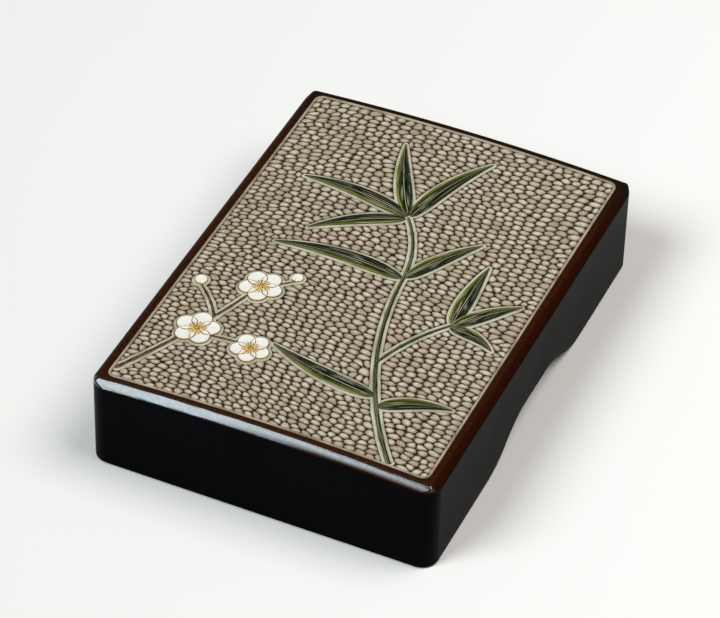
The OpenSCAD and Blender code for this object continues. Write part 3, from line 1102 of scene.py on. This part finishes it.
# %% Blossoms and buds
PETAL_LIFTS = (0, 0.1, 0.02, 0.12, 0.06)
THREADS = 15
THREAD_REACH = (0.36, 0.27, 0.32)
THREAD_Z = FIELD_Z + 1.16
BEAD_Z = FIELD_Z + 1.22
HEART_Z = FIELD_Z + 0.8
HEART_FADE = 14

bm = bmesh.new()
for blossom in BLOSSOMS:
    x, y, radius, heading = blossom
    for (petal_x, petal_y, way), lift in zip(petal_places(blossom), PETAL_LIFTS):
        petal(bm, petal_x, petal_y, way, PETAL_SIZE * radius, lift)
    for number in range(THREADS):
        way = math.radians(heading + 360 / THREADS * number)
        reach = radius * THREAD_REACH[number % 3]
        out = THREAD_START + reach
        thread(bm, (x, y, THREAD_Z), way, reach)
        bead(bm, (x + out * math.cos(way), y + out * math.sin(way), BEAD_Z), 0.5)
    bead(bm, (x, y, HEART_Z), 1.5)
for x, y, heading, length in BUDS:
    petal(bm, x, y, math.radians(heading), length / 2, 0)
    foot = math.radians(heading + 180)
    out = 0.42 * length
    petal(bm, x + out * math.cos(foot), y + out * math.sin(foot), foot, length * 0.2, 0.12)
hearts = [Vector((blossom.x, blossom.y, 0)) for blossom in BLOSSOMS]
heart = bm.verts.layers.float.new("heart")
for vert in bm.verts:
    flat = Vector((vert.co.x, vert.co.y, 0))
    vert[heart] = min((flat - middle).length for middle in hearts) / HEART_FADE
follow_camber(bm)
make_piece("plum_blossoms", bm, "lid", [petal_white, gold], crease=40)

# %% Twigs
bm = bmesh.new()
for line in TWIGS:
    ribbon(bm, line, twig_half, 0, even_columns(6), round_height(0.38))
bmesh.ops.recalc_face_normals(bm, faces=bm.faces)
follow_camber(bm)
make_piece("plum_twigs", bm, "lid", [bark_brown], crease=50)

# %% [markdown]
# ## The pebbled ground
# The rest of the field is cut into close-set pebbles, each a low dome in a dark groove, in rows that turn
# as they cross the board. A texture could suggest them, but real domes catch the light from any side.
# First comes the ground that the spray and its margins keep: points along each line with their reach,
# and a disc for each petal, heart and bud.

# %% Ground kept by the spray
HALF_W = LID_W / 2 - GROUND_IN + 0.4
HALF_L = LID_L / 2 - GROUND_IN + 0.4
WIDEST_REACH = 11

spray_points = []
for group, (line, half) in enumerate(LINES):
    steps = int(line.length / 2) + 1
    for i in range(steps + 1):
        run = line.length * i / steps
        spray_points.append((along(line, run)[0], half(line, run) + MARGIN, group))
discs = []
for blossom in BLOSSOMS:
    for x, y, way in petal_places(blossom):
        discs.append((x, y, PETAL_SIZE * blossom.radius + MARGIN))
    discs.append((blossom.x, blossom.y, 0.5 * blossom.radius))
for bud in BUDS:
    discs.append((bud.x, bud.y, bud.length / 2 + MARGIN))
for number, (x, y, reach) in enumerate(discs):
    spray_points.append((Vector((x, y, 0)), reach, len(LINES) + number))


def search_tree(points):
    tree = KDTree(len(points))
    for number, point in enumerate(points):
        tree.insert(point, number)
    tree.balance()
    return tree


spray_tree = search_tree([point for point, reach, group in spray_points])


def is_free(point):
    for place, number, distance in spray_tree.find_range(point, WIDEST_REACH):
        if distance < spray_points[number][1]:
            return False
    return True


print(len(spray_points), "points of the spray keep their ground")

# %% [markdown]
# Each pebble grows from a seed. Seeds could be scattered at random, but a carver works in rows. So they
# are set in staggered rows and jittered, then eased apart until they share the free ground evenly.
# Distances are measured in a stretched and leaning frame, which makes pebbles long and turns the rows.

# %% Seeds in rows
ROW = 4.7
PITCH = 6.9
SPARE_ROWS = 8
STRETCH = 1.45
chance = random.Random(7)


def lean_at(point):
    return 0.02 + 0.09 * math.cos(point.x / 45) - 0.0005 * point.y


def stretched(point):
    return Vector((point.x, (point.y + lean_at(point) * point.x) * STRETCH, 0))


seeds = []
for i in range(int(2 * HALF_W / PITCH) + 2):
    for j in range(int(2 * HALF_L / ROW) + 2 * SPARE_ROWS + 1):
        x = i * PITCH - HALF_W
        share = (j - SPARE_ROWS + 0.5 * (i % 2)) * ROW / (2 * HALF_L)
        y = HALF_L * (2 * share * (0.88 + 0.12 * share) - 1)
        y -= lean_at(Vector((x, y, 0))) * x
        x += chance.uniform(-2.5, 2.5) + 2.0 * math.sin(y / 23)
        y += chance.uniform(-1.7, 1.7) + 2.4 * math.sin(x / 31 + y / 57)
        point = Vector((x, y, 0))
        if abs(x) < HALF_W and abs(y) < HALF_L and is_free(point):
            seeds.append(point)
print(len(seeds), "seeds")

# %% Ease the seeds apart
SAMPLE = 1.3
CUT_SEARCH = 19
CUT_REACH = 7
CROWDED = 3.2

samples = []
for i in range(int(2 * HALF_W / SAMPLE)):
    for j in range(int(2 * HALF_L / SAMPLE)):
        point = Vector((SAMPLE * (i + 0.5) - HALF_W, SAMPLE * (j + 0.5) - HALF_L, 0))
        if is_free(point):
            samples.append(point)


def spray_cuts(seed):
    nearest = {}
    for place, number, distance in spray_tree.find_range(seed, CUT_SEARCH):
        point, reach, group = spray_points[number]
        if group not in nearest or distance - reach < nearest[group][0]:
            nearest[group] = (distance - reach, point)
    close = [(gap, point) for gap, point in nearest.values() if gap < CUT_REACH]
    return [(gap, (point - seed).normalized()) for gap, point in close]


def eased(seeds):
    tree = search_tree([stretched(seed) for seed in seeds])
    sums = [[Vector((0, 0, 0)), 0] for seed in seeds]
    for point in samples:
        number = tree.find(stretched(point))[1]
        sums[number][0] += point
        sums[number][1] += 1
    return [total / count for total, count in sums if count > 2]


def left_over(seeds):
    tree = search_tree([stretched(seed) for seed in seeds])
    cuts = [spray_cuts(seed) for seed in seeds]
    extra = []
    for point in samples:
        number = tree.find(stretched(point))[1]
        away = point - seeds[number]
        hidden = any(away.dot(normal) > gap + 0.5 for gap, normal in cuts[number])
        if hidden and all((point - other).length > CROWDED for other in extra):
            extra.append(point)
    return extra


seeds = eased(seeds)
corner_seeds = left_over(seeds)
seeds = eased(seeds + corner_seeds)
print(len(seeds), "pebbles,", len(corner_seeds), "of them in tight corners")

# %% [markdown]
# Each pebble's outline is the ground nearer to its seed than to any other. It could be worked out corner
# by corner, but it is simpler to cut a small square by the planes halfway to its neighbours, less half
# a groove, and by the margins of the spray. All outlines then go into one mesh, where one bevel rounds
# their corners. Each top is extruded twice, drawn in towards its own middle and lifted into a dome.

# %% Cut the outlines
GROOVE = 0.12
NEIGHBOURS = 12
BLANK = 9
LEAST_EDGE = 0.5
LEAST_AREA = 1.2
seed_tree = search_tree([stretched(seed) for seed in seeds])


def pebble_outline(seed):
    groove = GROOVE * chance.uniform(0.7, 1.35)
    lean = lean_at(seed)
    bm = bmesh.new()
    square = bmesh.ops.create_grid(bm, x_segments=1, y_segments=1, size=BLANK)["verts"]
    bmesh.ops.translate(bm, vec=seed, verts=square)
    for place, number, distance in seed_tree.find_n(stretched(seed), NEIGHBOURS + 1)[1:]:
        way = seeds[number] - seed
        rise = (way.y + lean * way.x) * STRETCH ** 2
        normal = Vector((way.x + lean * rise, rise, 0)).normalized()
        cut(bm, (seed + seeds[number]) / 2 - normal * groove, normal, clear_outer=True)
    for gap, normal in spray_cuts(seed):
        cut(bm, seed + normal * (gap - groove), normal, clear_outer=True)
    for side, reach in ((Vector((1, 0, 0)), HALF_W), (Vector((0, 1, 0)), HALF_L)):
        for sign in (-1, 1):
            cut(bm, side * sign * (reach - groove), side * sign, clear_outer=True)
    bmesh.ops.remove_doubles(bm, verts=bm.verts, dist=LEAST_EDGE)
    corners = []
    if len(bm.faces) == 1 and bm.faces[:][0].calc_area() > LEAST_AREA:
        corners = [vert.co.copy() for vert in bm.faces[:][0].verts]
    bm.free()
    return corners


bm = bmesh.new()
for seed in seeds:
    corners = pebble_outline(seed)
    if corners:
        bm.faces.new([bm.verts.new((corner.x, corner.y, SEAT_Z)) for corner in corners])
print(len(bm.faces), "pebbles")

# %% Raise the domes
ROUNDED_PERCENT = 29
PEBBLE_FOOT = 0.1
DOME = ((0.88, 0.5), (0.5, 0.32))
FULL_AREA = 12

bmesh.ops.bevel(
    bm, geom=bm.verts[:], offset=ROUNDED_PERCENT, offset_type="PERCENT", segments=1,
    profile=0.5, affect="VERTICES", material=-1,
)
raised = bmesh.ops.extrude_face_region(bm, geom=bm.faces[:])["geom"]
crowns = only_faces(raised)
bmesh.ops.translate(bm, vec=(0, 0, PEBBLE_FOOT), verts=only_verts(raised))
bmesh.ops.recalc_face_normals(bm, faces=bm.faces)
for step, (share, lift) in enumerate(DOME):
    if step > 0:
        crowns = bmesh.ops.extrude_discrete_faces(bm, faces=crowns)["faces"]
    for face in crowns:
        middle = face.calc_center_median()
        full = min(1, face.calc_area() / FULL_AREA)
        for vert in face.verts:
            vert.co = middle + (vert.co - middle) * share
            vert.co.z += lift * (0.4 + 0.6 * full)
tone = bm.verts.layers.float.new("tone")
crown = bm.verts.layers.float.new("crown")
tones = [chance.random() for seed in seeds]
for vert in bm.verts:
    vert[tone] = tones[seed_tree.find(stretched(vert.co))[1]]
    vert[crown] = vert.co.z - FIELD_Z
follow_camber(bm)
print("domes:", len(bm.faces), "faces")

# %% [markdown]
# The pebbles' lacquer is rubbed through on their tops and stays dark in the grooves. A colour for each
# pebble could do, but wear follows height. So the mesh carries each point's height above the field,
# with a tone for each pebble, and noise at several scales breaks up both. The same ramp over height is
# also painted light: the tan flanks stand for shade on each dome's sides, and the pale crown for its
# highlight.

# %% Pebble finish
def pebble_lacquer():
    material, wire, place = start_finish("pebble_lacquer")
    tone = wire.attribute("tone")
    crown = wire.attribute("crown")
    speck = place.noise(700.0, 4.0)
    cloud = place.noise(28.0, 3.0)
    mottle = place.noise(330.0, 3.0)
    pale = (tone * 0.3 + cloud * 0.2 + mottle * 0.9).rise(0.42, 0.98)
    top = pale.blend(colour(170, 155, 131), colour(216, 207, 195))
    patch = place.noise(160.0, 2.0)
    height = crown + 0.25 * speck - 0.12
    groove = patch.rise(0.42, 0.66).blend(colour(28, 14, 3), colour(88, 66, 42))
    # Partly painted light: over the rubbed-through wear, the height ramp gives the flanks painted shade
    # and the crowns a painted highlight.
    tint = height.rise(0.13, 0.5).blend(groove, colour(142, 124, 98))
    tint = height.rise(0.48, 0.95).blend(tint, top)
    bump = speck.bump(0.2, 0.0002)
    close_finish(wire, {
        "Base Color": tint,
        "Roughness": 0.5 + 0.2 * speck,
        "Specular IOR Level": 0.14,
        "Normal": bump,
    })
    return material


make_piece("pebble_ground", bm, "lid", [pebble_lacquer()], crease=60)
